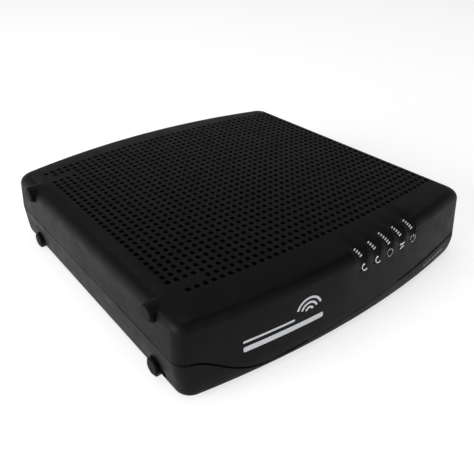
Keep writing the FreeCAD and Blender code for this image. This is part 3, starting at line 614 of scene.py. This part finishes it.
def coax_barrel():
    """The coax connector's barrel with its thread cut in, from the flange to the tip."""
    low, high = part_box("coax_barrel")
    centre = middle("coax_barrel")
    length = high.y - low.y
    flange, flange_length = (high.x - low.x) / 2, 1.6 * MM
    outer, bore = 4.7 * MM, 3.3 * MM
    thread_start, thread_end = 8.6 * MM, length - 0.7 * MM
    thread_pitch, thread_depth = 0.79 * MM, 0.42 * MM
    steps, rows_per_turn = 48, 8
    bm = bmesh.new()

    def ring(along, radius_at):
        made = []
        for step in range(steps):
            angle = 2 * math.pi * step / steps
            radius = radius_at(angle)
            made.append(bm.verts.new((centre.x + radius * math.cos(angle), low.y + along,
                                      centre.z + radius * math.sin(angle))))
        return made

    def plain(radius):
        return lambda angle: radius

    def threaded(along):
        def radius_at(angle):
            phase = (along / thread_pitch - angle / (2 * math.pi)) % 1
            wave = abs(2 * phase - 1)
            fade = min(1, (along - thread_start) / thread_pitch, (thread_end - along) / thread_pitch)
            return outer - thread_depth * max(fade, 0) * max(0, min(1, 1.25 * wave - 0.12))
        return radius_at

    rings = [ring(0, plain(bore)), ring(0, plain(flange)), ring(flange_length, plain(flange)),
             ring(flange_length, plain(outer)), ring(thread_start, plain(outer))]
    rows = int((thread_end - thread_start) / thread_pitch * rows_per_turn)
    for row in range(1, rows):
        along = thread_start + (thread_end - thread_start) * row / rows
        rings.append(ring(along, threaded(along)))
    rings += [ring(thread_end, plain(outer - 0.1 * MM)), ring(length, plain(outer - 0.5 * MM)),
              ring(length, plain(bore)), rings[0]]
    for lower, upper in zip(rings, rings[1:]):
        for step in range(steps):
            after = (step + 1) % steps
            bm.faces.new([lower[step], upper[step], upper[after], lower[after]])
    bmesh.ops.recalc_face_normals(bm, faces=bm.faces)
    barrel = finish_piece("coax_thread", bm, "connector_metal")
    smooth_by_angle(barrel, TURNED_ANGLE)
    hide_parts("coax_barrel")


SCREW_HEAD_RADIUS = 2.8 * MM
SCREW_HEAD_HEIGHT = 1.8 * MM
SCREW_SHANK_RADIUS = 1.5 * MM
SCREW_DOME = 0.38
SCREW_RECESS = 0.55
TURNED_ANGLE = math.radians(35)


def cross_recess(x, y, head):
    """Depth of a cross recess at a place on a screw head, as a share of its full depth."""
    wide, reach = 0.2 * head, 0.62 * head

    def arm(along, side):
        if abs(along) > reach or abs(side) > wide:
            return 0.0
        return min(1.0, (reach - abs(along)) / (0.35 * reach), (wide - abs(side)) / (0.3 * wide))

    return max(arm(x, y), arm(y, x))


def add_screw(bm, place, down, shank_radius, length, head, head_height, count=36):
    """A screw whose domed head, with a cross recess, faces down or up from its place."""
    facing = -1 if down else 1
    grid = {}
    for i in range(count + 1):
        for j in range(count + 1):
            u, v = 2 * i / count - 1, 2 * j / count - 1
            x = u * math.sqrt(1 - v * v / 2) * head
            y = v * math.sqrt(1 - u * u / 2) * head
            share = math.hypot(x, y) / head
            dome = head_height * SCREW_DOME * share**4
            height = -dome - SCREW_RECESS * head_height * cross_recess(x, y, head)
            grid[i, j] = bm.verts.new(place + Vector((x, y, facing * height)))
    for i in range(count):
        for j in range(count):
            bm.faces.new([grid[i, j], grid[i + 1, j], grid[i + 1, j + 1], grid[i, j + 1]])
    profile = [(head, SCREW_DOME * head_height), (head, head_height), (shank_radius, head_height),
               (shank_radius, length), (0, length)]
    turned(bm, profile, place, (0, 0, -facing), 40)


def make_screws():
    """Replace the plain CAD screws with ones that have cross recesses."""
    for node, down in (("case_screws", True), ("board_screws", False)):
        low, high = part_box(node)
        head = SCREW_HEAD_RADIUS
        face = low.z if down else high.z
        bm = bmesh.new()
        for x in (low.x + head, high.x - head):
            for y in (low.y + head, high.y - head):
                add_screw(bm, Vector((x, y, face)), down, SCREW_SHANK_RADIUS, high.z - low.z, head,
                          SCREW_HEAD_HEIGHT)
        bmesh.ops.recalc_face_normals(bm, faces=bm.faces)
        screws = finish_piece(node + "_crossed", bm, "screw_steel")
        smooth_by_angle(screws, TURNED_ANGLE)
        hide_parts(node)


# ---------------------------------------------------------------- stage


CAMERA_PLACE = Vector((-167.9, -218.6, 173.8)) * MM
CAMERA_FORWARD = Vector((0.5232, 0.6658, -0.5320))
CAMERA_LENS = 41.3
CAMERA_SENSOR = 36.0
FLOOR_GLOW = 0.66


def make_camera():
    """The camera stands to the front left and looks down at the middle of the modem."""
    data = bpy.data.cameras.new("camera")
    data.lens = CAMERA_LENS
    data.sensor_width = CAMERA_SENSOR
    data.clip_end = 20.0
    camera = bpy.data.objects.new("camera", data)
    camera.location = CAMERA_PLACE
    camera.rotation_mode = "QUATERNION"
    camera.rotation_quaternion = CAMERA_FORWARD.to_track_quat("-Z", "Y")
    bpy.context.scene.collection.objects.link(camera)
    bpy.context.scene.camera = camera


def make_floor():
    """A wide pale sweep that glows a little, as a light table does, and is clear from below."""
    finish = Finish("floor", 0.9, Specular_IOR_Level=0.0, Emission_Color=(1, 1, 1, 1),
                    Emission_Strength=FLOOR_GLOW)
    finish.colour(finish.noise(600, 1), (0.52, 0.52, 0.52), (0.54, 0.54, 0.54))
    clear = finish.node("ShaderNodeBsdfTransparent")
    side = finish.node("ShaderNodeNewGeometry")
    mix = finish.node("ShaderNodeMixShader")
    finish.link(side.outputs["Backfacing"], mix.inputs[0])
    finish.link(finish.shader.outputs[0], mix.inputs[1])
    finish.link(clear.outputs[0], mix.inputs[2])
    finish.link(mix.outputs[0], finish.tree.nodes["Material Output"].inputs["Surface"])
    bm = bmesh.new()
    bmesh.ops.create_grid(bm, x_segments=2, y_segments=2, size=6.0)
    mesh = bpy.data.meshes.new("floor")
    bm.to_mesh(mesh)
    bm.free()
    mesh.materials.append(finish.material)
    floor = bpy.data.objects.new("floor", mesh)
    bpy.context.scene.collection.objects.link(floor)


def area_light(name, place, target, size, power):
    data = bpy.data.lights.new(name, "AREA")
    data.shape = "RECTANGLE"
    data.size, data.size_y = size
    data.energy = power
    light = bpy.data.objects.new(name, data)
    light.location = Vector(place)
    light.rotation_mode = "QUATERNION"
    light.rotation_quaternion = (Vector(target) - Vector(place)).to_track_quat("-Z", "Y")
    bpy.context.scene.collection.objects.link(light)


def make_world():
    """Pale walls round a dark ceiling, so that the top stays deep black."""
    world = bpy.data.worlds.new("studio")
    world.use_nodes = True
    nodes, links = world.node_tree.nodes, world.node_tree.links
    place = nodes.new("ShaderNodeTexCoord")
    split = nodes.new("ShaderNodeSeparateXYZ")
    ramp = nodes.new("ShaderNodeValToRGB")
    wall, ceiling = ramp.color_ramp.elements
    wall.position, wall.color = 0.22, (0.9, 0.9, 0.9, 1)
    ceiling.position, ceiling.color = 0.42, (0.07, 0.07, 0.075, 1)
    links.new(place.outputs["Generated"], split.inputs[0])
    links.new(split.outputs["Z"], ramp.inputs["Fac"])
    links.new(ramp.outputs["Color"], nodes["Background"].inputs["Color"])
    bpy.context.scene.world = world


def make_lights():
    area_light("left_softbox", (-1.2, 0.1, 0.35), (0, 0, 0.02), (0.9, 0.6), 16)
    area_light("front_fill", (0.3, -1.3, 0.9), (0, 0, 0.02), (0.8, 0.5), 3)
    area_light("overhead", (0.0, 0.3, 1.6), (0, 0, 0), (1.3, 1.3), 9.5)
    bpy.context.scene.view_settings.view_transform = "Standard"


dress_cad_nodes()
coax_barrel()
make_screws()
make_parting_painted_shadow()
print_indicators()
print_mark()
print_small_dashes()
print_rear_symbols()
print_label()
make_camera()
make_floor()
make_lights()
make_world()
